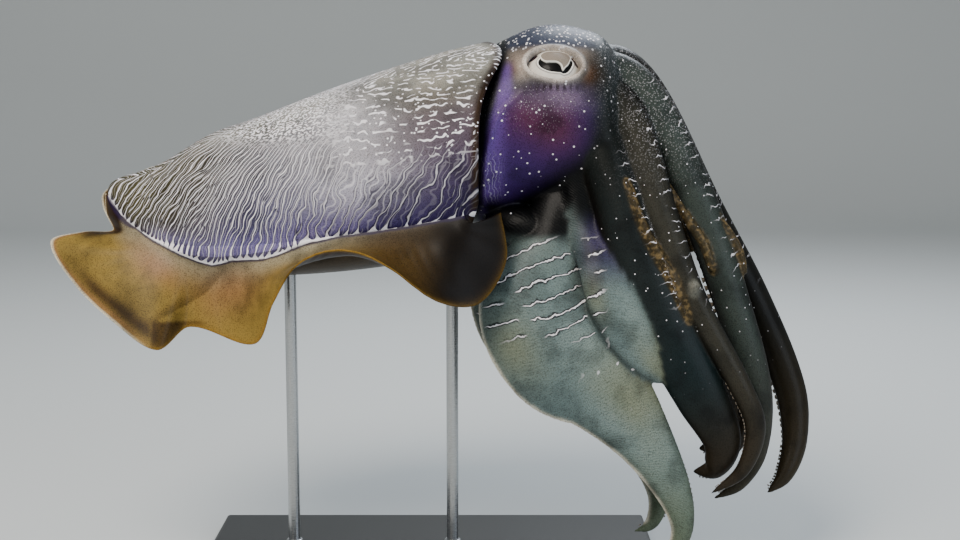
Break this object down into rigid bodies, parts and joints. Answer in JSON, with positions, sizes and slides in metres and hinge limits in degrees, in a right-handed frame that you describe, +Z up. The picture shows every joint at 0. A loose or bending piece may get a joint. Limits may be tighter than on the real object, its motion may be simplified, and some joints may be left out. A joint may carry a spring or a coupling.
{
  "type": "giant australian cuttlefish model",
  "caption": "Life-size still model of a giant Australian cuttlefish swimming with hanging arms, held over a flat base by two rods.",
  "frame": {"origin": "middle of the underside of the stand's base", "axes": "+X from the tail to the arms, -Y to the animal's right side, +Z up"},
  "size_m": [0.7544, 0.3212, 0.5476],
  "materials": {
    "mantle_skin": "smooth moist skin, grey to brown, with fine near-white branching lines",
    "fin_skin": "smooth moist skin, golden brown with a paler hem",
    "head_skin": "smooth moist skin, grey on top and violet on the cheeks, with white dots",
    "arm_skin": "moist skin, slate to olive, with short white dashes and dots",
    "ventral_arm_skin": "moist skin, grey green with white cross stripes and a pale rim",
    "eye_ball": "wet white eye with a black W-shaped pupil",
    "stand_lacquer": "board with satin black lacquer",
    "stand_steel": "brushed steel rod"
  },
  "bodies": {
    "root": {"arm_left_1_base": "arm_skin", "arm_left_1_middle": "arm_skin", "arm_left_1_tip": "arm_skin", "arm_left_2_base": "arm_skin", "arm_left_2_middle": "arm_skin", "arm_left_2_tip": "arm_skin", "arm_left_3_base": "arm_skin", "arm_left_3_middle": "arm_skin", "arm_left_3_tip": "arm_skin", "arm_left_4_base": "ventral_arm_skin", "arm_left_4_middle": "ventral_arm_skin", "arm_left_4_tip": "ventral_arm_skin", "arm_right_1_base": "arm_skin", "arm_right_1_middle": "arm_skin", "arm_right_1_tip": "arm_skin", "arm_right_2_base": "arm_skin", "arm_right_2_middle": "arm_skin", "arm_right_2_tip": "arm_skin", "arm_right_3_base": "arm_skin", "arm_right_3_middle": "arm_skin", "arm_right_3_tip": "arm_skin", "arm_right_4_base": "ventral_arm_skin", "arm_right_4_middle": "ventral_arm_skin", "arm_right_4_tip": "ventral_arm_skin", "eye_left": "eye_ball", "eye_right": "eye_ball", "fin_left_front": "fin_skin", "fin_left_middle": "fin_skin", "fin_left_rear": "fin_skin", "fin_right_front": "fin_skin", "fin_right_middle": "fin_skin", "fin_right_rear": "fin_skin", "funnel": "head_skin", "head": "head_skin", "mantle": "mantle_skin", "stand_base": "stand_lacquer", "stand_rod_front": "stand_steel", "stand_rod_rear": "stand_steel"}
  },
  "joints": []
}
